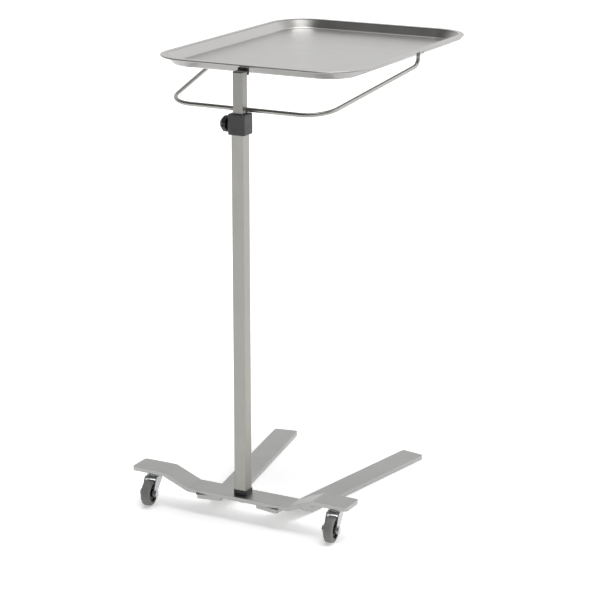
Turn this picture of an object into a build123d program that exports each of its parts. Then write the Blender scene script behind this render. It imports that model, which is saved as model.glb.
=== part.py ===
"""A mayo instrument stand: a pressed tray on a height-adjustable post, with two legs and two casters.

Millimetres, +Z up, the floor at z = 0. X runs along the cross bar and Y along the legs.
The post stands at x = 0, y = post_y, so that the origin is the middle of the stand's footprint.
"""
import os
from math import atan, cos, degrees, radians, sin, tan

from build123d import *

os.makedirs("parts", exist_ok=True)

# Casters: 50 mm wheels in trailing swivel forks
wheel_diameter = 50.0
tyre_width = 18.0
tyre_shoulder_radius = 5.0
tyre_depth = 6.0
hub_recess_depth = 3.5
hub_rim_wall = 2.5
hub_boss_radius = 8.0
bush_wall = 1.6
axle_radius = 4.0
caster_height = 64.0
caster_spacing = 395.0
caster_trail = 27.0
caster_rest_angle = 8.3
cheek_thickness = 2.0
cheek_gap = 1.5
cheek_boss_radius = 8.0
crown_thickness = 2.5
crown_front = 13.0
crown_back = 19.0
crown_drop = 3.0
wheel_top_gap = 1.5
lower_race_height = 3.5
lower_race_radius = 14.0
upper_race_radius = 13.0
race_gap = 0.3
ball_radius = 1.7
ball_pitch_radius = 9.0
ball_count = 12
kingpin_radius = 5.0
kingpin_head_radius = 7.5
kingpin_head_height = 1.5
axle_head_height = 4.0
axle_hex = 13.0

# Base: a joggled cross bar and two splayed legs of the same flat bar
bar_width = 50.0
bar_thickness = 8.0
bar_length = 465.0
bar_joggle = 22.0
bar_bend_inner = 109.0
bar_bend_outer = 163.0
bar_bend_radius = 10.0
bar_corner_radius = 6.0
leg_spread = 66.0
leg_splay = 10.3
leg_reach = 458.0
leg_overhang = 25.0
leg_bend_start = 30.0
leg_bend_end = 86.0
leg_corner_radius = 5.0
glide_radius = 15.0
glide_thickness = 2.0
glide_stem_radius = 3.5
glide_stem_height = 5.0
glide_inset = 26.0

# Post: two square tubes, one sliding in the other
outer_size = 25.0
outer_wall = 1.5
outer_corner = 2.5
outer_length = 728.0
inner_size = 20.0
inner_wall = 1.2
inner_corner = 2.0
inner_length = 700.0
rest_extension = 80.0
slide_clearance = 0.08
liner_length = 78.0
liner_flange_height = 1.5
liner_flange_inset = 0.1
guide_head_height = 15.0
plug_depth = 20.0
top_plug_height = 2.0
top_plug_depth = 5.0
boot_wall = 1.5
boot_height = 10.0
boot_chamfer = 0.5
foot_plug_height = 25.0
post_bolt_radius = 5.0
post_bolt_reach = 22.0
post_bolt_hex = 17.0
post_bolt_head = 6.4
washer_radius = 10.5
washer_thickness = 2.0

# Clamp: a moulded collar, a threaded insert and a knob with a stud and a pressure pad
collar_size = 35.0
collar_height = 38.0
collar_corner = 5.0
collar_lip = 3.4
collar_lip_clearance = 0.4
collar_edge_radius = 1.5
boss_radius = 9.5
boss_height = 4.0
insert_radius = 5.5
insert_length = 8.0
stud_radius = 4.0
stud_nose_radius = 2.5
stud_nose_length = 1.6
stud_hold = 9.0
pad_radius = 4.0
pad_thickness = 3.0
pad_gap = 0.2
knob_radius = 15.0
knob_skirt = 7.5
knob_dome = 9.5
knob_tip_radius = 5.0
knob_gap = 0.9
knob_neck_radius = 7.5
knob_neck_length = 1.5
knob_lobes = 8
knob_flute_radius = 4.0
knob_flute_depth = 1.2
clamp_drop = 16.0
collar_screw_radius = 2.0
collar_screw_head_radius = 3.8
collar_screw_head_height = 2.2
collar_screw_socket = 2.5
collar_screw_socket_depth = 1.3
collar_screw_drop = 20.0

# Tray: pressed sheet with sloping walls, a flange and a rolled edge
tray_width = 424.0
tray_length = 568.0
tray_depth = 18.0
tray_sheet = 1.0
tray_flange = 11.0
tray_wall_run = 14.0
tray_corner = 80.0
tray_bead_radius = 1.75
tray_floor_radius = 7.0
tray_front = 15.0
tray_above_tube = 10.0

# Tray carrier: a bent rod welded behind the inner tube, a rail under the rim and a rubber rest
rod_radius = 4.0
rod_half_width = 160.0
rod_drop = 70.0
rod_bend_radius = 55.0
rod_elbow_radius = 18.0
rod_top_elbow_radius = 8.0
riser_reach = 322.0
riser_height = 24.0
rail_start = 14.0
rest_block_width = 20.0
rest_block_depth = 8.0
rest_block_edge = 2.0
rest_block_height = 12.5
rest_screw_radius = 1.5
rest_screw_head_radius = 2.7
rest_screw_head_height = 1.8
rest_screw_socket = 2.0
rest_screw_socket_depth = 1.0
rest_screw_rise = 3.2

# Clearances
bore_clearance = 0.05
running_clearance = 0.08
seat_gap = 0.3
hole_clearance = 0.5

# Levels
axle_height = wheel_diameter / 2
bar_low_under = caster_height - bar_joggle
bar_low_top = bar_low_under + bar_thickness
bar_high_top = caster_height + bar_thickness
leg_high_under = bar_low_under - bar_thickness
outer_top = bar_low_top + outer_length
inner_top = outer_top + rest_extension
inner_bottom = inner_top - inner_length
tray_top = inner_top + tray_above_tube
flange_under = tray_top - tray_sheet
bead_under = tray_top - 2 * tray_bead_radius
collar_top = outer_top + liner_flange_height + collar_lip + liner_flange_inset
collar_bottom = collar_top - collar_height
clamp_level = outer_top - clamp_drop
rod_level = inner_top - rod_drop
rail_level = flange_under - seat_gap - rod_radius
block_top = bead_under - seat_gap
rest_screw_level = block_top - rest_block_height + rest_screw_rise

# Plan positions. The front of the footprint is the tyres' edge and the back is the tray's edge.
rest_turn = radians(caster_rest_angle)
tyre_front = (
    tyre_shoulder_radius
    + (wheel_diameter / 2 - tyre_shoulder_radius) * cos(rest_turn)
    + (tyre_width / 2 - tyre_shoulder_radius) * sin(rest_turn)
)
front_reach = caster_trail * cos(rest_turn) + tyre_front
post_y = (front_reach - tray_front - tray_length) / 2
tray_centre_y = post_y + tray_front + tray_length / 2
outer_bore = outer_size - 2 * outer_wall
inner_bore = inner_size - 2 * inner_wall
rail_inset = 2 * tray_bead_radius + seat_gap + rod_radius
rail_x = tray_width / 2 - rail_inset


def square_ring(size, corner, bore, bore_corner):
    """A rounded square with a rounded square hole, both centred on the post."""
    with BuildSketch() as ring:
        with Locations((0, post_y)):
            RectangleRounded(size, size, corner)
            RectangleRounded(bore, bore, bore_corner, mode=Mode.SUBTRACT)
    return ring.sketch


def rounded_square(size, corner):
    """A rounded square centred on the post."""
    with BuildSketch() as square:
        with Locations((0, post_y)):
            RectangleRounded(size, size, corner)
    return square.sketch


# Cross bar: flat bar with raised ends over the casters, drilled for the kingpins and the post bolt
with BuildPart() as cross_bar:
    with BuildSketch(Plane.XZ.offset(-post_y)) as bar_side:
        with BuildLine():
            FilletPolyline(
                (-bar_length / 2, caster_height),
                (-bar_bend_outer, caster_height),
                (-bar_bend_inner, bar_low_under),
                (bar_bend_inner, bar_low_under),
                (bar_bend_outer, caster_height),
                (bar_length / 2, caster_height),
                radius=bar_bend_radius,
            )
            offset(amount=bar_thickness, side=Side.LEFT)
        make_face()
    extrude(amount=bar_width / 2, both=True)
    upright = cross_bar.edges().filter_by(Axis.Z)
    fillet(upright.group_by(Axis.X)[0] + upright.group_by(Axis.X)[-1], bar_corner_radius)
    with Locations(
        (-caster_spacing / 2, post_y, bar_high_top),
        (caster_spacing / 2, post_y, bar_high_top),
    ):
        Hole(kingpin_radius + bore_clearance, depth=2 * bar_thickness)
    with Locations((0, post_y, bar_low_top)):
        Hole(post_bolt_radius + hole_clearance / 2, depth=2 * bar_thickness)
cross_bar.part.label = "cross_bar"
export_step(cross_bar.part, "parts/cross_bar.step")

# Legs: flat bar under the cross bar, joggled down to the floor, each with a glide at its far end
for side, hand in ((-1, "left"), (1, "right")):
    splay = radians(leg_splay)
    leg_line = Vector(side * sin(splay), cos(splay), 0)
    leg_plane = Plane(
        origin=(side * leg_spread, post_y, 0),
        x_dir=leg_line,
        z_dir=(cos(splay), -side * sin(splay), 0),
    )
    glide_centre = Vector(side * leg_spread, post_y, 0) + leg_line * (leg_reach - glide_inset)
    with BuildPart() as leg:
        with BuildSketch(leg_plane):
            with BuildLine():
                FilletPolyline(
                    (-leg_overhang, leg_high_under),
                    (leg_bend_start, leg_high_under),
                    (leg_bend_end, glide_thickness),
                    (leg_reach, glide_thickness),
                    radius=bar_bend_radius,
                )
                offset(amount=bar_thickness, side=Side.LEFT)
            make_face()
        extrude(amount=bar_width / 2, both=True)
        fillet(leg.edges().filter_by(Axis.Z), leg_corner_radius)
        with BuildSketch(Plane.XY):
            with Locations((glide_centre.X, glide_centre.Y)):
                Circle(glide_stem_radius + bore_clearance)
        extrude(amount=glide_thickness + glide_stem_height, mode=Mode.SUBTRACT)
    leg.part.label = f"{hand}_leg"
    export_step(leg.part, f"parts/{hand}_leg.step")

    with BuildPart() as glide:
        with BuildSketch(Plane.XY):
            with Locations((glide_centre.X, glide_centre.Y)):
                Circle(glide_radius)
        extrude(amount=glide_thickness)
        fillet(glide.edges().group_by(Axis.Z)[0], glide_thickness / 2)
        with BuildSketch(Plane.XY.offset(glide_thickness)):
            with Locations((glide_centre.X, glide_centre.Y)):
                Circle(glide_stem_radius)
        extrude(amount=glide_stem_height - bore_clearance)
    glide.part.label = f"{hand}_glide"
    export_step(glide.part, f"parts/{hand}_glide.step")

# Outer tube: square steel tube on the cross bar, drilled for the clamp and the collar screw
with BuildPart() as outer_tube:
    with BuildSketch(Plane.XY.offset(bar_low_top)):
        add(square_ring(outer_size, outer_corner, outer_bore, outer_corner - outer_wall))
    extrude(amount=outer_length)
    with BuildSketch(Plane.YZ.offset(-outer_size / 2 - outer_wall)):
        with Locations((post_y, clamp_level)):
            Circle(pad_radius + hole_clearance)
    extrude(amount=3 * outer_wall, mode=Mode.SUBTRACT)
    with BuildSketch(Plane.XZ.offset(-post_y - outer_size / 2 - outer_wall)):
        with Locations((0, outer_top - collar_screw_drop)):
            Circle(collar_screw_radius + bore_clearance)
    extrude(amount=3 * outer_wall, mode=Mode.SUBTRACT)
outer_tube.part.label = "outer_tube"
export_step(outer_tube.part, "parts/outer_tube.step")

# Boot: moulded trim ring round the tube's foot
with BuildPart() as post_boot:
    boot_bore = outer_size + 2 * bore_clearance
    with BuildSketch(Plane.XY.offset(bar_low_top)):
        add(
            square_ring(
                outer_size + 2 * boot_wall, outer_corner + boot_wall, boot_bore, outer_corner
            )
        )
    extrude(amount=boot_height)
    chamfer(post_boot.edges().group_by(Axis.Z)[-1].sort_by(SortBy.LENGTH)[-8:], boot_chamfer)
post_boot.part.label = "post_boot"
export_step(post_boot.part, "parts/post_boot.step")

# Foot plug: threaded block welded into the tube's foot
with BuildPart() as foot_plug:
    with BuildSketch(Plane.XY.offset(bar_low_top)):
        add(rounded_square(outer_bore - 2 * bore_clearance, outer_corner - outer_wall))
    extrude(amount=foot_plug_height)
    with Locations((0, post_y, bar_low_top + foot_plug_height)):
        Hole(post_bolt_radius + bore_clearance, depth=2 * foot_plug_height)
foot_plug.part.label = "foot_plug"
export_step(foot_plug.part, "parts/foot_plug.step")

# Post bolt and its washer: from below the cross bar up into the foot plug
with BuildPart() as post_washer:
    with BuildSketch(Plane.XY.offset(bar_low_under - washer_thickness)):
        with Locations((0, post_y)):
            Circle(washer_radius)
            Circle(post_bolt_radius + bore_clearance, mode=Mode.SUBTRACT)
    extrude(amount=washer_thickness)
post_washer.part.label = "post_washer"
export_step(post_washer.part, "parts/post_washer.step")

with BuildPart() as post_bolt:
    bolt_seat = bar_low_under - washer_thickness
    with BuildSketch(Plane.XY.offset(bolt_seat - post_bolt_head)):
        with Locations((0, post_y)):
            RegularPolygon(post_bolt_hex / 2, 6, major_radius=False)
    extrude(amount=post_bolt_head)
    with BuildSketch(Plane.XY.offset(bolt_seat)):
        with Locations((0, post_y)):
            Circle(post_bolt_radius)
    extrude(amount=washer_thickness + bar_thickness + post_bolt_reach)
post_bolt.part.label = "post_bolt"
export_step(post_bolt.part, "parts/post_bolt.step")

# Guide liner: thin moulded sleeve inside the outer tube's mouth, flanged over its end
liner_outer = outer_bore - 2 * bore_clearance
liner_bore = inner_size + 2 * slide_clearance
with BuildPart() as guide_liner:
    with BuildSketch(Plane.XY.offset(outer_top - liner_length)):
        add(square_ring(liner_outer, outer_corner - outer_wall, liner_bore, inner_corner))
    extrude(amount=liner_length)
    with BuildSketch(Plane.XY.offset(outer_top)):
        add(square_ring(outer_size - 2 * liner_flange_inset, outer_corner, liner_bore, inner_corner))
    extrude(amount=liner_flange_height)
    with BuildSketch(Plane.YZ.offset(-outer_size / 2)):
        with Locations((post_y, clamp_level)):
            Circle(pad_radius + hole_clearance)
    extrude(amount=outer_size / 2, mode=Mode.SUBTRACT)
guide_liner.part.label = "guide_liner"
export_step(guide_liner.part, "parts/guide_liner.step")

# Clamp collar: moulded cap over the outer tube, with a boss for the threaded insert
tube_pocket = outer_size + 2 * bore_clearance
lip_opening = inner_size + 2 * collar_lip_clearance
boss_face = collar_size / 2 + boss_height
with BuildPart() as clamp_collar:
    with BuildSketch(Plane.XY.offset(collar_bottom)):
        add(rounded_square(collar_size, collar_corner))
    extrude(amount=collar_height)
    level_edges = clamp_collar.edges().group_by(Axis.Z)
    fillet(level_edges[0] + level_edges[-1], collar_edge_radius)
    with BuildSketch(Plane.YZ.offset(-boss_face)):
        with Locations((post_y, clamp_level)):
            Circle(boss_radius)
    extrude(amount=boss_height + collar_corner)
    with BuildSketch(Plane.XY.offset(collar_bottom)):
        add(rounded_square(tube_pocket, outer_corner))
    extrude(amount=collar_height - collar_lip, mode=Mode.SUBTRACT)
    with BuildSketch(Plane.XY.offset(collar_top - 2 * collar_lip)):
        add(rounded_square(lip_opening, inner_corner))
    extrude(amount=3 * collar_lip, mode=Mode.SUBTRACT)
    with BuildSketch(Plane.YZ.offset(-boss_face)):
        with Locations((post_y, clamp_level)):
            Circle(insert_radius + bore_clearance)
    extrude(amount=collar_size / 2, mode=Mode.SUBTRACT)
    with BuildSketch(Plane.XZ.offset(-post_y - collar_size / 2)):
        with Locations((0, outer_top - collar_screw_drop)):
            Circle(collar_screw_radius + bore_clearance)
    extrude(amount=collar_size / 2 - outer_size / 2 + outer_wall, mode=Mode.SUBTRACT)
clamp_collar.part.label = "clamp_collar"
export_step(clamp_collar.part, "parts/clamp_collar.step")

# Collar screw: pan-head screw through the collar into the outer tube's back wall
with BuildPart() as collar_screw:
    screw_level = outer_top - collar_screw_drop
    screw_seat = post_y + collar_size / 2
    screw_tip = post_y + outer_size / 2 - outer_wall + bore_clearance
    with BuildSketch(Plane.XZ.offset(-screw_seat)):
        with Locations((0, screw_level)):
            Circle(collar_screw_radius)
    extrude(amount=screw_seat - screw_tip)
    with BuildSketch(Plane.XZ.offset(-screw_seat)):
        with Locations((0, screw_level)):
            Circle(collar_screw_head_radius)
    extrude(amount=-collar_screw_head_height)
    fillet(collar_screw.edges().group_by(Axis.Y)[-1], collar_screw_head_height / 2)
    with BuildSketch(Plane.XZ.offset(-screw_seat - collar_screw_head_height)):
        with Locations((0, screw_level)):
            RegularPolygon(collar_screw_socket / 2, 6, major_radius=False)
    extrude(amount=collar_screw_socket_depth, mode=Mode.SUBTRACT)
collar_screw.part.label = "collar_screw"
export_step(collar_screw.part, "parts/collar_screw.step")

# Threaded insert: brass sleeve in the collar's boss
with BuildPart() as clamp_insert:
    with BuildSketch(Plane.YZ.offset(-boss_face)):
        with Locations((post_y, clamp_level)):
            Circle(insert_radius)
            Circle(stud_radius + running_clearance, mode=Mode.SUBTRACT)
    extrude(amount=insert_length)
clamp_insert.part.label = "clamp_insert"
export_step(clamp_insert.part, "parts/clamp_insert.step")

# Pressure pad: the disc on the stud's nose that bears on the inner tube
pad_face = inner_size / 2 + pad_gap
pad_back = pad_face + pad_thickness
with BuildPart() as pressure_pad:
    with BuildSketch(Plane.YZ.offset(-pad_back)):
        with Locations((post_y, clamp_level)):
            Circle(pad_radius)
    extrude(amount=pad_thickness)
    with BuildSketch(Plane.YZ.offset(-pad_back)):
        with Locations((post_y, clamp_level)):
            Circle(stud_nose_radius + running_clearance)
    extrude(amount=stud_nose_length + running_clearance, mode=Mode.SUBTRACT)
pressure_pad.part.label = "pressure_pad"
export_step(pressure_pad.part, "parts/pressure_pad.step")

# Clamp stud: threaded rod through the insert, its nose in the pad and its tail in the knob
stud_shoulder = pad_back + running_clearance
knob_face = boss_face + knob_gap
knob_rim = knob_face + knob_neck_length + knob_skirt
stud_end = knob_face + stud_hold
with BuildPart() as clamp_stud:
    with BuildSketch(Plane.YZ.offset(-stud_end)):
        with Locations((post_y, clamp_level)):
            Circle(stud_radius)
    extrude(amount=stud_end - stud_shoulder)
    with BuildSketch(Plane.YZ.offset(-stud_shoulder)):
        with Locations((post_y, clamp_level)):
            Circle(stud_nose_radius)
    extrude(amount=stud_nose_length)
clamp_stud.part.label = "clamp_stud"
export_step(clamp_stud.part, "parts/clamp_stud.step")

# Clamp knob: moulded round knob with a domed face and shallow grip flutes
with BuildPart() as clamp_knob:
    with BuildSketch(Plane(origin=(0, post_y, clamp_level), x_dir=(-1, 0, 0), z_dir=(0, -1, 0))):
        with BuildLine():
            Polyline(
                (knob_face, 0),
                (knob_face, knob_neck_radius),
                (knob_face + knob_neck_length, knob_radius),
                (knob_rim, knob_radius),
            )
            Spline(
                (knob_rim, knob_radius),
                (knob_rim + knob_dome / 2, (knob_radius + knob_tip_radius) / 2),
                (knob_rim + knob_dome, 0),
                tangents=((0.6, -1), (0, -1)),
            )
            Line((knob_rim + knob_dome, 0), (knob_face, 0))
        make_face()
    revolve(axis=Axis((0, post_y, clamp_level), (1, 0, 0)))
    with BuildSketch(Plane.YZ.offset(-knob_rim - knob_dome)):
        with Locations((post_y, clamp_level)):
            with PolarLocations(knob_radius + knob_flute_radius - knob_flute_depth, knob_lobes):
                Circle(knob_flute_radius)
    extrude(amount=knob_dome + knob_skirt + knob_neck_length, mode=Mode.SUBTRACT)
    with BuildSketch(Plane.YZ.offset(-stud_end)):
        with Locations((post_y, clamp_level)):
            Circle(stud_radius + bore_clearance)
    extrude(amount=stud_hold, mode=Mode.SUBTRACT)
clamp_knob.part.label = "clamp_knob"
export_step(clamp_knob.part, "parts/clamp_knob.step")

# Inner tube: square tube that carries the tray
with BuildPart() as inner_tube:
    with BuildSketch(Plane.XY.offset(inner_bottom)):
        add(square_ring(inner_size, inner_corner, inner_bore, inner_corner - inner_wall))
    extrude(amount=inner_length)
    with BuildSketch(Plane.XZ.offset(-post_y - inner_size / 2 - inner_wall)):
        with Locations((0, rest_screw_level)):
            Circle(rest_screw_radius + bore_clearance)
    extrude(amount=3 * inner_wall, mode=Mode.SUBTRACT)
inner_tube.part.label = "inner_tube"
export_step(inner_tube.part, "parts/inner_tube.step")

# Bottom guide: moulded plug in the inner tube's foot that runs in the outer tube
plug_size = inner_bore - 2 * bore_clearance
plug_corner = inner_corner - inner_wall
with BuildPart() as bottom_guide:
    with BuildSketch(Plane.XY.offset(inner_bottom - guide_head_height)):
        add(rounded_square(outer_bore - 2 * slide_clearance, outer_corner - outer_wall + slide_clearance))
    extrude(amount=guide_head_height)
    with BuildSketch(Plane.XY.offset(inner_bottom)):
        add(rounded_square(plug_size, plug_corner))
    extrude(amount=plug_depth)
bottom_guide.part.label = "bottom_guide"
export_step(bottom_guide.part, "parts/bottom_guide.step")

# Top plug: moulded cap that closes the inner tube
with BuildPart() as top_plug:
    with BuildSketch(Plane.XY.offset(inner_top)):
        add(rounded_square(inner_size, inner_corner))
    extrude(amount=top_plug_height)
    fillet(top_plug.edges().group_by(Axis.Z)[-1], top_plug_height / 2)
    with BuildSketch(Plane.XY.offset(inner_top)):
        add(rounded_square(plug_size, plug_corner))
    extrude(amount=-top_plug_depth)
top_plug.part.label = "top_plug"
export_step(top_plug.part, "parts/top_plug.step")

# Tray rest: rubber block behind the tube's top, and the screw that holds it
block_face = post_y + inner_size / 2
with BuildPart() as tray_rest:
    with BuildSketch(Plane.XY.offset(block_top - rest_block_height)):
        with Locations((0, block_face + rest_block_depth / 2)):
            Rectangle(rest_block_width, rest_block_depth)
    extrude(amount=rest_block_height)
    fillet(tray_rest.edges().group_by(Axis.Y)[-1], rest_block_edge)
    with BuildSketch(Plane.XZ.offset(-block_face - rest_block_depth)):
        with Locations((0, rest_screw_level)):
            Circle(rest_screw_head_radius + bore_clearance)
    extrude(amount=rest_screw_head_height, mode=Mode.SUBTRACT)
    with BuildSketch(Plane.XZ.offset(-block_face - rest_block_depth)):
        with Locations((0, rest_screw_level)):
            Circle(rest_screw_radius + bore_clearance)
    extrude(amount=rest_block_depth, mode=Mode.SUBTRACT)
tray_rest.part.label = "tray_rest"
export_step(tray_rest.part, "parts/tray_rest.step")

with BuildPart() as rest_screw:
    with BuildSketch(Plane.XZ.offset(-block_face - rest_block_depth)):
        with Locations((0, rest_screw_level)):
            Circle(rest_screw_head_radius)
    extrude(amount=rest_screw_head_height)
    with BuildSketch(Plane.XZ.offset(-block_face - rest_block_depth)):
        with Locations((0, rest_screw_level)):
            Circle(rest_screw_radius)
    extrude(amount=rest_block_depth + inner_wall)
    with BuildSketch(Plane.XZ.offset(-block_face - rest_block_depth)):
        with Locations((0, rest_screw_level)):
            RegularPolygon(rest_screw_socket / 2, 6, major_radius=False)
    extrude(amount=rest_screw_socket_depth, mode=Mode.SUBTRACT)
rest_screw.part.label = "rest_screw"
export_step(rest_screw.part, "parts/rest_screw.step")

# Support rod: one bent rod behind the tube, out and up along both sides to the rail
rod_y = post_y + inner_size / 2 + rod_radius
riser_y = post_y + riser_reach
with BuildPart() as support_rod:
    with BuildLine() as rod_path:
        FilletPolyline(
            (-rail_x, riser_y + rail_start, rail_level),
            (-rail_x, riser_y, rail_level),
            (-rail_x, riser_y, rail_level - riser_height),
            (-rod_half_width, rod_y, rod_level),
            (rod_half_width, rod_y, rod_level),
            (rail_x, riser_y, rail_level - riser_height),
            (rail_x, riser_y, rail_level),
            (rail_x, riser_y + rail_start, rail_level),
            radius=[
                rod_top_elbow_radius,
                rod_elbow_radius,
                rod_bend_radius,
                rod_bend_radius,
                rod_elbow_radius,
                rod_top_elbow_radius,
            ],
        )
    with BuildSketch(Plane(origin=rod_path.line @ 0, z_dir=rod_path.line % 0)):
        Circle(rod_radius)
    sweep()
support_rod.part.label = "support_rod"
export_step(support_rod.part, "parts/support_rod.step")

# Rim rail: rod under the tray's rim, butt welded to the support rod's two ends
rail_back = post_y + tray_front + tray_length - rail_inset
with BuildPart() as rim_rail:
    with BuildLine() as rail_path:
        FilletPolyline(
            (-rail_x, riser_y + rail_start, rail_level),
            (-rail_x, rail_back, rail_level),
            (rail_x, rail_back, rail_level),
            (rail_x, riser_y + rail_start, rail_level),
            radius=tray_corner - rail_inset,
        )
    with BuildSketch(Plane(origin=rail_path.line @ 0, z_dir=rail_path.line % 0)):
        Circle(rod_radius)
    sweep()
rim_rail.part.label = "rim_rail"
export_step(rim_rail.part, "parts/rim_rail.step")

# Tray: a shelled pan with sloping walls, a flange round its mouth and a rolled edge
wall_height = tray_depth - tray_sheet
wall_slope = degrees(atan(tray_wall_run / wall_height))
pan_inset = tray_flange + tray_wall_run
mouth_inset = tray_flange + tray_sheet / cos(radians(wall_slope))
floor_level = tray_top - tray_depth + tray_sheet
floor_inset = pan_inset + tray_sheet / cos(radians(wall_slope)) - tray_sheet * tan(radians(wall_slope))
with BuildSketch(Plane.XY.offset(tray_top - tray_bead_radius)) as bead_plan:
    with Locations((0, tray_centre_y)):
        RectangleRounded(
            tray_width - 2 * tray_bead_radius,
            tray_length - 2 * tray_bead_radius,
            tray_corner - tray_bead_radius,
        )
bead_wire = bead_plan.sketch.face().outer_wire()
with BuildPart() as tray_well:
    with BuildSketch(Plane.XY.offset(floor_level)):
        with Locations((0, tray_centre_y)):
            RectangleRounded(
                tray_width - 2 * floor_inset, tray_length - 2 * floor_inset, tray_corner - floor_inset
            )
    extrude(amount=wall_height, taper=-wall_slope)
    fillet(tray_well.edges().group_by(Axis.Z)[0], tray_floor_radius - tray_sheet)
with BuildPart() as tray:
    with BuildSketch(Plane.XY.offset(tray_top - tray_depth)):
        with Locations((0, tray_centre_y)):
            RectangleRounded(
                tray_width - 2 * pan_inset, tray_length - 2 * pan_inset, tray_corner - pan_inset
            )
    extrude(amount=wall_height, taper=-wall_slope)
    fillet(tray.edges().group_by(Axis.Z)[0], tray_floor_radius)
    add(tray_well.part, mode=Mode.SUBTRACT)
    with BuildSketch(Plane.XY.offset(flange_under)):
        with Locations((0, tray_centre_y)):
            RectangleRounded(
                tray_width - 2 * tray_bead_radius,
                tray_length - 2 * tray_bead_radius,
                tray_corner - tray_bead_radius,
            )
            RectangleRounded(
                tray_width - 2 * mouth_inset,
                tray_length - 2 * mouth_inset,
                tray_corner - mouth_inset,
                mode=Mode.SUBTRACT,
            )
    extrude(amount=tray_sheet)
    with BuildSketch(Plane(origin=bead_wire @ 0, z_dir=bead_wire % 0)):
        Circle(tray_bead_radius)
    sweep(path=bead_wire)
tray.part.label = "tray"
export_step(tray.part, "parts/tray.step")

# Casters: kingpin and upper race on the cross bar, fork and lower race that swivel, and the wheel
fork_half = tyre_width / 2 + cheek_gap
crown_under = wheel_diameter + wheel_top_gap
crown_top = crown_under + crown_thickness
lower_race_top = crown_top + lower_race_height
upper_race_under = lower_race_top + race_gap
groove_radius = ball_radius + seat_gap
ball_level = lower_race_top + race_gap / 2
hub_radius = wheel_diameter / 2 - tyre_depth
bush_radius = axle_radius + running_clearance + bush_wall
bush_length = 2 * (fork_half - running_clearance)
trail_line = Vector(sin(rest_turn), -cos(rest_turn), 0)
axle_line = Vector(cos(rest_turn), sin(rest_turn), 0)
for side, hand in ((-1, "left"), (1, "right")):
    pin = Vector(side * caster_spacing / 2, post_y, 0)
    hub_centre = pin + trail_line * caster_trail + Vector(0, 0, axle_height)
    fork_plane = Plane(origin=pin, x_dir=trail_line, z_dir=trail_line.cross(Vector(0, 0, 1)))
    section_plane = Plane(
        origin=hub_centre, x_dir=axle_line, z_dir=axle_line.cross(Vector(0, 0, 1))
    )
    axle_axis = Axis(hub_centre, axle_line)

    with BuildPart() as kingpin:
        with BuildSketch(Plane.XY.offset(crown_under - seat_gap - kingpin_head_height)):
            with Locations((pin.X, pin.Y)):
                Circle(kingpin_head_radius)
        extrude(amount=kingpin_head_height)
        with BuildSketch(Plane.XY.offset(crown_under - seat_gap)):
            with Locations((pin.X, pin.Y)):
                Circle(kingpin_radius)
        extrude(amount=bar_high_top - crown_under + seat_gap)
    kingpin.part.label = f"{hand}_kingpin"
    export_step(kingpin.part, f"parts/{hand}_kingpin.step")

    with BuildPart() as upper_race:
        with BuildSketch(Plane.XY.offset(upper_race_under)):
            with Locations((pin.X, pin.Y)):
                Circle(upper_race_radius)
                Circle(kingpin_radius + bore_clearance, mode=Mode.SUBTRACT)
        extrude(amount=caster_height - upper_race_under)
        fillet(
            upper_race.edges().filter_by(GeomType.CIRCLE).sort_by(SortBy.RADIUS)[-2:],
            (caster_height - upper_race_under) / 4,
        )
        with Locations((pin.X, pin.Y, ball_level)):
            Torus(ball_pitch_radius, groove_radius, mode=Mode.SUBTRACT)
    upper_race.part.label = f"{hand}_upper_race"
    export_step(upper_race.part, f"parts/{hand}_upper_race.step")

    with BuildPart() as lower_race:
        with BuildSketch(Plane.XY.offset(crown_top)):
            with Locations((pin.X, pin.Y)):
                Circle(lower_race_radius)
                Circle(kingpin_radius + running_clearance, mode=Mode.SUBTRACT)
        extrude(amount=lower_race_height)
        with Locations((pin.X, pin.Y, ball_level)):
            Torus(ball_pitch_radius, groove_radius, mode=Mode.SUBTRACT)
    lower_race.part.label = f"{hand}_lower_race"
    export_step(lower_race.part, f"parts/{hand}_lower_race.step")

    with BuildPart() as race_balls:
        with Locations((pin.X, pin.Y, ball_level)):
            with PolarLocations(ball_pitch_radius, ball_count):
                Sphere(ball_radius)
    race_balls.part.label = f"{hand}_race_balls"
    export_step(race_balls.part, f"parts/{hand}_race_balls.step")

    with BuildPart() as fork:
        with BuildSketch(fork_plane):
            with Locations((caster_trail, axle_height)):
                Circle(cheek_boss_radius)
            with Locations(((crown_back - crown_front) / 2, crown_top - crown_drop / 2)):
                Rectangle(crown_front + crown_back, crown_drop)
            make_hull()
        extrude(amount=fork_half + cheek_thickness, both=True)
        with BuildSketch(fork_plane):
            with Locations((caster_trail, crown_under)):
                Rectangle(3 * wheel_diameter, 2 * wheel_diameter, align=(Align.CENTER, Align.MAX))
        extrude(amount=fork_half, both=True, mode=Mode.SUBTRACT)
        with Locations((pin.X, pin.Y, crown_top)):
            Hole(kingpin_radius + running_clearance, depth=2 * crown_thickness)
        with BuildSketch(Plane(origin=hub_centre, x_dir=trail_line, z_dir=axle_line)):
            Circle(axle_radius + bore_clearance)
        extrude(amount=wheel_diameter, both=True, mode=Mode.SUBTRACT)
    fork.part.label = f"{hand}_fork"
    export_step(fork.part, f"parts/{hand}_fork.step")

    axle_plane = Plane(origin=hub_centre, x_dir=trail_line, z_dir=axle_line)
    cheek_outer = fork_half + cheek_thickness
    with BuildPart() as axle_bolt:
        with BuildSketch(axle_plane.offset(-cheek_outer - axle_head_height)):
            RegularPolygon(axle_hex / 2, 6, major_radius=False)
        extrude(amount=axle_head_height)
        with BuildSketch(axle_plane.offset(-cheek_outer)):
            Circle(axle_radius)
        extrude(amount=2 * cheek_outer + axle_head_height)
    axle_bolt.part.label = f"{hand}_axle_bolt"
    export_step(axle_bolt.part, f"parts/{hand}_axle_bolt.step")

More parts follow.
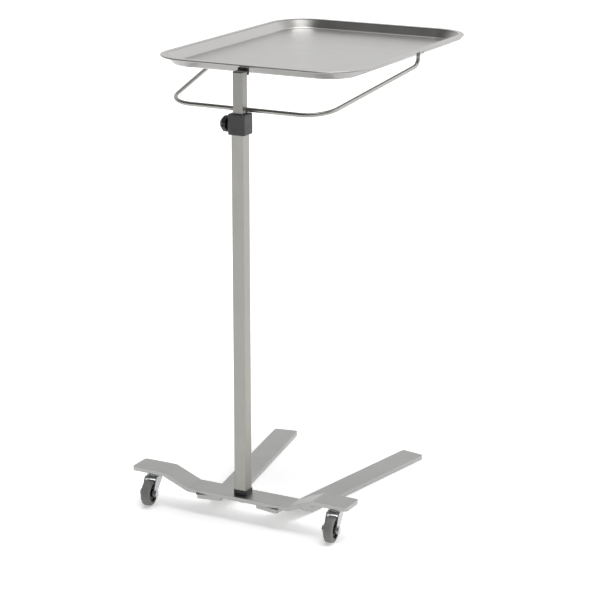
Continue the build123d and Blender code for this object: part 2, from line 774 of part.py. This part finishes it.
    with BuildPart() as axle_nut:
        with BuildSketch(axle_plane.offset(cheek_outer)):
            RegularPolygon(axle_hex / 2, 6, major_radius=False)
            Circle(axle_radius + bore_clearance, mode=Mode.SUBTRACT)
        extrude(amount=axle_head_height)
    axle_nut.part.label = f"{hand}_axle_nut"
    export_step(axle_nut.part, f"parts/{hand}_axle_nut.step")

    with BuildPart() as bush:
        with BuildSketch(axle_plane.offset(-bush_length / 2)):
            Circle(bush_radius)
            Circle(axle_radius + running_clearance, mode=Mode.SUBTRACT)
        extrude(amount=bush_length)
    bush.part.label = f"{hand}_bush"
    export_step(bush.part, f"parts/{hand}_bush.step")

    with BuildPart() as hub:
        with BuildSketch(section_plane):
            hub_half = tyre_width / 2
            with BuildLine():
                Polyline(
                    (-hub_half, bush_radius + bore_clearance),
                    (-hub_half, hub_boss_radius),
                    (-hub_half + hub_recess_depth, hub_boss_radius),
                    (-hub_half + hub_recess_depth, hub_radius - hub_rim_wall),
                    (-hub_half, hub_radius - hub_rim_wall),
                    (-hub_half, hub_radius),
                    (hub_half, hub_radius),
                    (hub_half, hub_radius - hub_rim_wall),
                    (hub_half - hub_recess_depth, hub_radius - hub_rim_wall),
                    (hub_half - hub_recess_depth, hub_boss_radius),
                    (hub_half, hub_boss_radius),
                    (hub_half, bush_radius + bore_clearance),
                    close=True,
                )
            make_face()
        revolve(axis=axle_axis)
    hub.part.label = f"{hand}_hub"
    export_step(hub.part, f"parts/{hand}_hub.step")

    with BuildPart() as tyre:
        with BuildSketch(axle_plane.offset(-tyre_width / 2)):
            Circle(wheel_diameter / 2)
            Circle(hub_radius + bore_clearance, mode=Mode.SUBTRACT)
        extrude(amount=tyre_width)
        fillet(
            tyre.edges().filter_by(GeomType.CIRCLE).sort_by(SortBy.RADIUS)[-2:],
            tyre_shoulder_radius,
        )
    tyre.part.label = f"{hand}_tyre"
    export_step(tyre.part, f"parts/{hand}_tyre.step")
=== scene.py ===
import math

import bpy
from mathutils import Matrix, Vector


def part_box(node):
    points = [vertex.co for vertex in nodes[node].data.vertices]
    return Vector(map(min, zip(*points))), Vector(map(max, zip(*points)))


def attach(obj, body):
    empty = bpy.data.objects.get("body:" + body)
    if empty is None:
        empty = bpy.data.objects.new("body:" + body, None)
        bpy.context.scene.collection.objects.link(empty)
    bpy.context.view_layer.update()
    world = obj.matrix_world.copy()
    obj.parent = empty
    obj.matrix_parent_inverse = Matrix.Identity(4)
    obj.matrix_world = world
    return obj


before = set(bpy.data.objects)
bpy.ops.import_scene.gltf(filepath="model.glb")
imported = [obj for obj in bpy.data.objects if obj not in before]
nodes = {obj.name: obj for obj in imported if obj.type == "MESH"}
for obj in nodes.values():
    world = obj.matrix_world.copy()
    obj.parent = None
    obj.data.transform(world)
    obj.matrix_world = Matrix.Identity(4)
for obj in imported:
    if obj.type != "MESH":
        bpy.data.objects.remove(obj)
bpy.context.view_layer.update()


# Cross bar and legs. Cold-rolled stainless flat bar, 50 by 8 mm, cut to length, bent cold and ground
# with a fine belt along its length. The legs are welded under the cross bar.
def linear(hex_colour):
    """An sRGB hex colour as the linear RGBA that shaders take."""
    parts = [int(hex_colour[i : i + 2], 16) / 255 for i in (1, 3, 5)]
    return [c / 12.92 if c <= 0.04045 else ((c + 0.055) / 1.055) ** 2.4 for c in parts] + [1.0]


def add_node(tree, kind, inputs=None, **settings):
    """Adds a node, sets its properties, and sets each input or links an output to it."""
    node = tree.nodes.new(kind)
    for name, value in settings.items():
        setattr(node, name, value)
    for name, value in (inputs or {}).items():
        if isinstance(value, bpy.types.NodeSocket):
            tree.links.new(value, node.inputs[name])
        else:
            node.inputs[name].default_value = value
    return node


def new_material(name):
    """A material whose node tree is empty, and that tree."""
    material = bpy.data.materials.new(name)
    material.use_nodes = True
    material.node_tree.nodes.clear()
    return material, material.node_tree


def give(material, *names):
    """Puts a material on CAD nodes, in the slots they came with."""
    for name in names:
        for slot in nodes[name].material_slots:
            slot.material = material


def ground_steel(name, turn, grain, colour, dull, shine, edge):
    """Stainless steel with a belt-ground grain. It gives the eye long soft streaks in the gloss.

    turn is the grain's direction as XYZ angles, grain is its streaks' length and width in metres,
    dull and shine are the ends of its roughness, and edge is the radius that eases its corners.
    The real grain is about 0.1 mm wide. It is drawn some ten times coarser so that it shows.
    """
    handling_size = 0.045
    scratch_depth = 0.00003
    material, tree = new_material(name)
    place = add_node(tree, "ShaderNodeTexCoord")
    along = add_node(
        tree,
        "ShaderNodeMapping",
        {"Vector": place.outputs["Object"], "Rotation": turn, "Scale": (grain[0], grain[1], grain[1])},
        vector_type="TEXTURE",
    )
    streaks = add_node(
        tree, "ShaderNodeTexNoise", {"Vector": along.outputs[0], "Scale": 1.0, "Detail": 3.0}
    )
    handling = add_node(
        tree,
        "ShaderNodeTexNoise",
        {"Vector": place.outputs["Object"], "Scale": 1 / handling_size, "Detail": 2.0},
    )
    mixed = add_node(
        tree,
        "ShaderNodeMath",
        {0: streaks.outputs["Fac"], 1: handling.outputs["Fac"]},
        operation="ADD",
    )
    gloss = add_node(
        tree,
        "ShaderNodeMapRange",
        {"Value": mixed.outputs[0], "From Min": 0.7, "From Max": 1.3, "To Min": shine, "To Max": dull},
    )
    tint = add_node(
        tree,
        "ShaderNodeMix",
        {
            "Factor": streaks.outputs["Fac"],
            6: [0.93 * c for c in linear(colour)[:3]] + [1.0],
            7: [min(1.0, 1.05 * c) for c in linear(colour)[:3]] + [1.0],
        },
        data_type="RGBA",
    )
    eased = add_node(tree, "ShaderNodeBevel", {"Radius": edge}, samples=4)
    scratched = add_node(
        tree,
        "ShaderNodeBump",
        {
            "Height": streaks.outputs["Fac"],
            "Distance": scratch_depth,
            "Strength": 0.35,
            "Normal": eased.outputs[0],
        },
    )
    steel = add_node(
        tree,
        "ShaderNodeBsdfPrincipled",
        {
            "Base Color": tint.outputs[2],
            "Metallic": 1.0,
            "Roughness": gloss.outputs[0],
            "Normal": scratched.outputs[0],
        },
    )
    add_node(tree, "ShaderNodeOutputMaterial", {"Surface": steel.outputs[0]})
    return material


leg_splay = math.radians(10.3)
bar_grain = (0.070, 0.0014)
bar_colour = "#A8A8A6"
bar_edge = 0.0008
for bar, angle in (
    ("cross_bar", 0.0),
    ("left_leg", math.pi / 2 + leg_splay),
    ("right_leg", math.pi / 2 - leg_splay),
):
    steel = ground_steel(
        f"ground_bar_{bar}",
        turn=(0, 0, angle),
        grain=bar_grain,
        colour=bar_colour,
        dull=0.42,
        shine=0.30,
        edge=bar_edge,
    )
    give(steel, bar)


# Weld beads. TIG fillets with fine ripples, left as welded, with a straw to grey heat tint. They
# join each leg to the underside of the cross bar along its back edge and both its sides.
def weld_ripples():
    """A tree that lays overlapping ripples of weld metal along the edges of a mesh."""
    tree = bpy.data.node_groups.new("weld_ripples", "GeometryNodeTree")
    socket = tree.interface.new_socket
    socket("Geometry", in_out="INPUT", socket_type="NodeSocketGeometry")
    socket("Ripple pitch", in_out="INPUT", socket_type="NodeSocketFloat")
    socket("Bead radius", in_out="INPUT", socket_type="NodeSocketFloat")
    socket("Seed", in_out="INPUT", socket_type="NodeSocketInt")
    socket("Metal", in_out="INPUT", socket_type="NodeSocketMaterial")
    socket("Geometry", in_out="OUTPUT", socket_type="NodeSocketGeometry")
    given = add_node(tree, "NodeGroupInput").outputs
    path = add_node(tree, "GeometryNodeMeshToCurve", {"Mesh": given["Geometry"]})
    spaced = add_node(
        tree,
        "GeometryNodeResampleCurve",
        {"Curve": path.outputs[0], "Length": given["Ripple pitch"]},
        mode="LENGTH",
    )
    drop = add_node(
        tree, "GeometryNodeMeshIcoSphere", {"Radius": given["Bead radius"], "Subdivisions": 2}
    )
    heading = add_node(tree, "GeometryNodeInputTangent")
    turned = add_node(
        tree, "FunctionNodeAlignRotationToVector", {"Vector": heading.outputs[0]}, axis="Z"
    )
    uneven = add_node(
        tree,
        "FunctionNodeRandomValue",
        {0: (0.9, 0.9, 0.8), 1: (1.1, 1.1, 1.0), "Seed": given["Seed"]},
        data_type="FLOAT_VECTOR",
    )
    laid = add_node(
        tree,
        "GeometryNodeInstanceOnPoints",
        {
            "Points": spaced.outputs[0],
            "Instance": drop.outputs[0],
            "Rotation": turned.outputs[0],
            "Scale": uneven.outputs[0],
        },
    )
    real = add_node(tree, "GeometryNodeRealizeInstances", {0: laid.outputs[0]})
    smooth = add_node(tree, "GeometryNodeSetShadeSmooth", {0: real.outputs[0]})
    coated = add_node(
        tree, "GeometryNodeSetMaterial", {"Geometry": smooth.outputs[0], "Material": given["Metal"]}
    )
    add_node(tree, "NodeGroupOutput", {0: coated.outputs[0]})
    return tree


def weld_metal():
    """Stainless steel as welded. Its heat tint gives a change from warm straw to grey."""
    tint_size = 0.009
    material, tree = new_material("as_welded_stainless")
    place = add_node(tree, "ShaderNodeTexCoord")
    heat = add_node(
        tree,
        "ShaderNodeTexNoise",
        {"Vector": place.outputs["Object"], "Scale": 1 / tint_size, "Detail": 2.0},
    )
    tint = add_node(
        tree,
        "ShaderNodeMix",
        {"Factor": heat.outputs["Fac"], 6: linear("#7E7A72"), 7: linear("#9C9A95")},
        data_type="RGBA",
    )
    metal = add_node(
        tree,
        "ShaderNodeBsdfPrincipled",
        {"Base Color": tint.outputs[2], "Metallic": 1.0, "Roughness": 0.38},
    )
    add_node(tree, "ShaderNodeOutputMaterial", {"Surface": metal.outputs[0]})
    return material


ripples = weld_ripples()
weld = weld_metal()


def lay_weld(name, runs, pitch, radius, seed):
    """One mesh of weld beads along runs of points, with its place in its mesh."""
    points, edges = [], []
    for run in runs:
        edges += [(len(points) + i, len(points) + i + 1) for i in range(len(run) - 1)]
        points += run
    mesh = bpy.data.meshes.new(name + "_path")
    mesh.from_pydata([tuple(p) for p in points], edges, [])
    bead = bpy.data.objects.new(name, mesh)
    bpy.context.scene.collection.objects.link(bead)
    modifier = bead.modifiers.new("ripples", "NODES")
    modifier.node_group = ripples
    values = {"Ripple pitch": pitch, "Bead radius": radius, "Seed": seed, "Metal": weld}
    for item in ripples.interface.items_tree:
        if item.in_out == "INPUT" and item.name in values:
            modifier[item.identifier] = values[item.name]
    bpy.context.view_layer.update()
    solid = bead.evaluated_get(bpy.context.evaluated_depsgraph_get())
    bead.data = bpy.data.meshes.new_from_object(solid)
    bead.data.name = name
    bead.modifiers.clear()
    bpy.data.meshes.remove(mesh)
    return bead


bar_low, bar_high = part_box("cross_bar")
post_y = (bar_low.y + bar_high.y) / 2
weld_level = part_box("left_leg")[1].z
leg_offset = 0.066
leg_half_width = 0.025
weld_end_gap = 0.0005
side_weld_length = 0.044
leg_runs = []
for side in (-1, 1):
    line = Vector((side * math.sin(leg_splay), math.cos(leg_splay), 0))
    across = Vector((math.cos(leg_splay), -side * math.sin(leg_splay), 0))
    crossing = Vector((side * leg_offset, post_y, weld_level))
    back_middle = crossing + line * (bar_high.y - post_y) / line.y
    half_back = Vector(((leg_half_width - weld_end_gap) / math.cos(leg_splay), 0, 0))
    leg_runs.append([back_middle - half_back, back_middle + half_back])
    for edge in (-leg_half_width, leg_half_width):
        start = crossing + across * edge - line * side_weld_length / 2
        leg_runs.append([start, start + line * side_weld_length])
leg_welds = lay_weld("leg_welds", leg_runs, pitch=0.0012, radius=0.0022, seed=7)
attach(leg_welds, "base")


# Glides, boot and top plug. Injection-moulded black nylon, with the fine satin grain of the mould
# and softly rounded edges. The glides press into the legs, and the boot hides the post's weld.
def moulded(name, colour, roughness, grain_size, grain_depth, edge):
    """Moulded plastic or rubber. The mould's spark-eroded grain breaks up its gloss evenly.

    grain_size and grain_depth are the grain's, and edge is the radius that eases the corners, in metres.
    """
    rubbed_size = 0.012
    roughness_spread = 0.06
    material, tree = new_material(name)
    place = add_node(tree, "ShaderNodeTexCoord")
    grain = add_node(
        tree,
        "ShaderNodeTexNoise",
        {"Vector": place.outputs["Object"], "Scale": 1 / grain_size, "Detail": 2.0},
    )
    rubbed = add_node(
        tree,
        "ShaderNodeTexNoise",
        {"Vector": place.outputs["Object"], "Scale": 1 / rubbed_size, "Detail": 3.0},
    )
    tint = add_node(
        tree,
        "ShaderNodeMix",
        {
            "Factor": rubbed.outputs["Fac"],
            6: [0.85 * c for c in linear(colour)[:3]] + [1.0],
            7: [1.15 * c for c in linear(colour)[:3]] + [1.0],
        },
        data_type="RGBA",
    )
    gloss = add_node(
        tree,
        "ShaderNodeMapRange",
        {
            "Value": rubbed.outputs["Fac"],
            "From Min": 0.35,
            "From Max": 0.65,
            "To Min": roughness - roughness_spread,
            "To Max": roughness + roughness_spread,
        },
    )
    eased = add_node(tree, "ShaderNodeBevel", {"Radius": edge}, samples=4)
    skin = add_node(
        tree,
        "ShaderNodeBump",
        {
            "Height": grain.outputs["Fac"],
            "Distance": grain_depth,
            "Strength": 0.5,
            "Normal": eased.outputs[0],
        },
    )
    plastic = add_node(
        tree,
        "ShaderNodeBsdfPrincipled",
        {
            "Base Color": tint.outputs[2],
            "Roughness": gloss.outputs[0],
            "IOR": 1.53,
            "Normal": skin.outputs[0],
        },
    )
    add_node(tree, "ShaderNodeOutputMaterial", {"Surface": plastic.outputs[0]})
    return material


black_nylon = moulded(
    "moulded_black_nylon",
    colour="#1C1C1D",
    roughness=0.45,
    grain_size=0.0006,
    grain_depth=0.00005,
    edge=0.0005,
)
give(black_nylon, "post_boot", "top_plug", "left_glide", "right_glide")


# Foot plug, post bolt and washer. A turned steel block welded in the tube's foot, and a zinc plated
# hexagon bolt with its washer, screwed up from below the cross bar.
def plated(name, colour, roughness):
    """Plated or turned metal. Its gloss is slightly cloudy, as zinc plate's passivation makes it."""
    cloud_size = 0.006
    roughness_spread = 0.07
    eased_edge = 0.0004
    material, tree = new_material(name)
    place = add_node(tree, "ShaderNodeTexCoord")
    clouds = add_node(
        tree,
        "ShaderNodeTexNoise",
        {"Vector": place.outputs["Object"], "Scale": 1 / cloud_size, "Detail": 4.0},
    )
    tint = add_node(
        tree,
        "ShaderNodeMix",
        {
            "Factor": clouds.outputs["Fac"],
            6: [0.88 * c for c in linear(colour)[:3]] + [1.0],
            7: linear(colour),
        },
        data_type="RGBA",
    )
    gloss = add_node(
        tree,
        "ShaderNodeMapRange",
        {
            "Value": clouds.outputs["Fac"],
            "From Min": 0.3,
            "From Max": 0.7,
            "To Min": roughness - roughness_spread,
            "To Max": roughness + roughness_spread,
        },
    )
    eased = add_node(tree, "ShaderNodeBevel", {"Radius": eased_edge}, samples=4)
    plate = add_node(
        tree,
        "ShaderNodeBsdfPrincipled",
        {
            "Base Color": tint.outputs[2],
            "Metallic": 1.0,
            "Roughness": gloss.outputs[0],
            "Normal": eased.outputs[0],
        },
    )
    add_node(tree, "ShaderNodeOutputMaterial", {"Surface": plate.outputs[0]})
    return material


zinc = plated("bright_zinc_plate", colour="#C6C8CA", roughness=0.27)
give(zinc, "post_bolt", "post_washer", "collar_screw", "rest_screw", "clamp_stud")
give(plated("turned_mild_steel", colour="#8F8F8E", roughness=0.4), "foot_plug")


# Outer and inner tube. Welded square stainless tube, 25 and 20 mm, ground along its length. The
# inner one slides in the outer one and is rubbed bright by the clamp and the guides.
upright = (0, math.pi / 2, 0)
tube_edge = 0.0005
outer_steel = ground_steel(
    "ground_outer_tube",
    turn=upright,
    grain=(0.120, 0.0011),
    colour="#979691",
    dull=0.36,
    shine=0.26,
    edge=tube_edge,
)
inner_steel = ground_steel(
    "ground_inner_tube",
    turn=upright,
    grain=(0.120, 0.0009),
    colour="#878682",
    dull=0.32,
    shine=0.24,
    edge=tube_edge,
)
give(outer_steel, "outer_tube")
give(inner_steel, "inner_tube")


# Guides, pressure pad and wheel bushes. Natural acetal, a slippery off-white plastic. It shows only
# at the mouth of the outer tube and in the hubs.
acetal = moulded(
    "natural_acetal",
    colour="#D8D5CB",
    roughness=0.38,
    grain_size=0.0010,
    grain_depth=0.00003,
    edge=0.0003,
)
give(acetal, "guide_liner", "bottom_guide", "pressure_pad", "left_bush", "right_bush")


# Clamp collar and knob. Glass-filled nylon, dark grey on the collar with the mould's coarse grain,
# and black and a little glossier on the knob. The insert is turned brass.
collar_nylon = moulded(
    "moulded_grey_collar",
    colour="#2E2E2E",
    roughness=0.5,
    grain_size=0.0009,
    grain_depth=0.00010,
    edge=0.0006,
)
knob_nylon = moulded(
    "moulded_black_knob",
    colour="#141415",
    roughness=0.36,
    grain_size=0.0008,
    grain_depth=0.00004,
    edge=0.0005,
)
give(collar_nylon, "clamp_collar")
give(knob_nylon, "clamp_knob")
give(plated("turned_brass", colour="#C2A35A", roughness=0.3), "clamp_insert")


# Support rod and rim rail. Drawn 8 mm stainless rod, bent cold, tacked behind the inner tube with
# two fillets and butt welded to the rail, with a polished, slightly streaky skin.
rod_steel = ground_steel(
    "drawn_rod",
    turn=(0, 0, 0),
    grain=(0.010, 0.0020),
    colour="#9C9B98",
    dull=0.30,
    shine=0.20,
    edge=0.0002,
)
give(rod_steel, "support_rod", "rim_rail")
rod_low, rod_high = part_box("support_rod")
tube_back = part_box("inner_tube")[1].y
rod_radius = 0.004
rod_level = rod_low.z + rod_radius
fillet_offset = 0.0031
fillet_depth = 0.0006
fillet_half_length = 0.0085
rod_runs = []
for above in (-1, 1):
    level = rod_level + above * fillet_offset
    ends = (-fillet_half_length, fillet_half_length)
    rod_runs.append([Vector((x, tube_back + fillet_depth, level)) for x in ends])
rail_x = rod_high.x - rod_radius
rail_level = rod_high.z - rod_radius
for side in (-1, 1):
    joint = Vector((side * rail_x, rod_high.y, rail_level))
    underside = [math.radians(degrees) for degrees in range(200, 341, 10)]
    rod_runs.append([joint + rod_radius * Vector((math.cos(a), 0, math.sin(a))) for a in underside])
rod_welds = lay_weld("rod_welds", rod_runs, pitch=0.0008, radius=0.0012, seed=11)
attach(rod_welds, "post")


# Tray rest. A block of moulded black rubber, screwed behind the tube's top, that the front edge of
# the tray bears on. It is dull, with softened corners.
rest_rubber = moulded(
    "moulded_rest_rubber",
    colour="#171717",
    roughness=0.62,
    grain_size=0.0007,
    grain_depth=0.00006,
    edge=0.0008,
)
give(rest_rubber, "tray_rest")


# Tray. Stainless sheet, 1 mm, pressed in one stroke, with its edge rolled over and its floor ground
# along its length. The walls get painted shade: a darker base colour than the floor.
sheet = ground_steel(
    "pressed_tray_sheet",
    turn=(0, 0, math.pi / 2),
    grain=(0.180, 0.0016),
    colour="#B6B5B3",
    dull=0.34,
    shine=0.28,
    edge=0.0004,
)
sheet_tree = sheet.node_tree
shaded = next(n for n in sheet_tree.nodes if n.bl_idname == "ShaderNodeBsdfPrincipled")
# Painted shade: the steeper a face of the sheet, the darker its base colour, so the walls come out
# darker than the floor.
surface = add_node(sheet_tree, "ShaderNodeNewGeometry")
facing = add_node(sheet_tree, "ShaderNodeSeparateXYZ", {0: surface.outputs["True Normal"]})
flatness = add_node(sheet_tree, "ShaderNodeMath", {0: facing.outputs["Z"]}, operation="ABSOLUTE")
painted_wall_shade = 0.66
skin = add_node(
    sheet_tree,
    "ShaderNodeMapRange",
    {
        "Value": flatness.outputs[0],
        "From Min": 0.4,
        "From Max": 0.97,
        "To Min": painted_wall_shade,
        "To Max": 1.0,
    },
    interpolation_type="SMOOTHSTEP",
)
painted_wall_shade_mix = add_node(
    sheet_tree,
    "ShaderNodeMix",
    {
        "Factor": skin.outputs[0],
        6: (0, 0, 0, 1),
        7: shaded.inputs["Base Color"].links[0].from_socket,
    },
    data_type="RGBA",
)
sheet_tree.links.new(painted_wall_shade_mix.outputs[2], shaded.inputs["Base Color"])
give(sheet, "tray")


# Casters. The fork and its lower race are pressed steel with bright zinc plate, and the upper race is
# blackened steel. The axle, nut and balls are plated too. The pin's top is ground with the bar.
give(nodes["cross_bar"].material_slots[0].material, "left_kingpin", "right_kingpin")
pressing = plated("bright_zinc_pressing", colour="#BBBDBE", roughness=0.27)
blackened = moulded(
    "blackened_race",
    colour="#1A1A1A",
    roughness=0.35,
    grain_size=0.0010,
    grain_depth=0.00003,
    edge=0.0004,
)
for hand in ("left", "right"):
    give(zinc, hand + "_axle_bolt", hand + "_axle_nut", hand + "_race_balls")
    give(pressing, hand + "_fork", hand + "_lower_race")
    give(blackened, hand + "_upper_race")


# Wheels. A black polypropylene hub with a grey non-marking rubber tyre moulded on it. The whole tyre
# is one dull, lightly scuffed rubber.
hub_plastic = moulded(
    "moulded_black_hub",
    colour="#161617",
    roughness=0.42,
    grain_size=0.0008,
    grain_depth=0.00004,
    edge=0.0005,
)
tyre_rubber = moulded(
    "grey_tyre_rubber",
    colour="#727270",
    roughness=0.6,
    grain_size=0.0009,
    grain_depth=0.00006,
    edge=0.0005,
)
give(hub_plastic, "left_hub", "right_hub")
give(tyre_rubber, "left_tyre", "right_tyre")


# Studio. A pale seamless paper floor under a soft overhead light, with the room brighter behind the
# stand than in front of it. The camera stands where the photograph was taken.
floor_mesh = bpy.data.meshes.new("floor")
floor_half = 40.0
floor_corners = [(x * floor_half, y * floor_half, 0) for x, y in ((-1, -1), (1, -1), (1, 1), (-1, 1))]
floor_mesh.from_pydata(floor_corners, [], [(0, 1, 2, 3)])
floor = bpy.data.objects.new("floor", floor_mesh)
bpy.context.scene.collection.objects.link(floor)
paper, paper_tree = new_material("seamless_paper")
pale = add_node(
    paper_tree,
    "ShaderNodeBsdfPrincipled",
    {
        "Base Color": linear("#F4F4F4"),
        "Roughness": 0.9,
        "Emission Color": (1, 1, 1, 1),
        "Emission Strength": 0.36,
    },
)
add_node(paper_tree, "ShaderNodeOutputMaterial", {"Surface": pale.outputs[0]})
floor_mesh.materials.append(paper)

world = bpy.data.worlds.new("studio")
world.use_nodes = True
bpy.context.scene.world = world
sky_tree = world.node_tree
sky_tree.nodes.clear()
direction = add_node(sky_tree, "ShaderNodeTexCoord")
parts = add_node(sky_tree, "ShaderNodeSeparateXYZ", {0: direction.outputs["Generated"]})
brightness = 1.0
for axis, start, end, first, last in (
    ("Y", -0.35, 0.55, 0.28, 1.35),
    ("Z", 0.35, 0.85, 1.0, 0.55),
    ("X", -0.5, 0.5, 0.7, 1.3),
):
    change = add_node(
        sky_tree,
        "ShaderNodeMapRange",
        {
            "Value": parts.outputs[axis],
            "From Min": start,
            "From Max": end,
            "To Min": first,
            "To Max": last,
        },
        interpolation_type="SMOOTHSTEP",
    )
    product = add_node(
        sky_tree, "ShaderNodeMath", {0: brightness, 1: change.outputs[0]}, operation="MULTIPLY"
    )
    brightness = product.outputs[0]
glow = add_node(sky_tree, "ShaderNodeBackground", {"Color": (1, 1, 1, 1), "Strength": brightness})
add_node(sky_tree, "ShaderNodeOutputWorld", {"Surface": glow.outputs[0]})

sun = bpy.data.lights.new("overhead_softbox", "SUN")
sun.energy = 1.9
sun.angle = math.radians(40)
overhead = bpy.data.objects.new("overhead_softbox", sun)
overhead.rotation_euler = (math.radians(-4), math.radians(4), 0)
bpy.context.scene.collection.objects.link(overhead)

lens = bpy.data.cameras.new("photo_view")
lens.lens = 123.84
lens.sensor_width = 36.0
lens.clip_end = 100.0
camera = bpy.data.objects.new("photo_view", lens)
camera.location = (1.8060, post_y - 3.1939, 1.498)
camera.rotation_euler = (math.radians(73.8), 0.0, math.radians(27.8))
bpy.context.scene.collection.objects.link(camera)
bpy.context.scene.camera = camera
bpy.context.scene.view_settings.view_transform = "Standard"
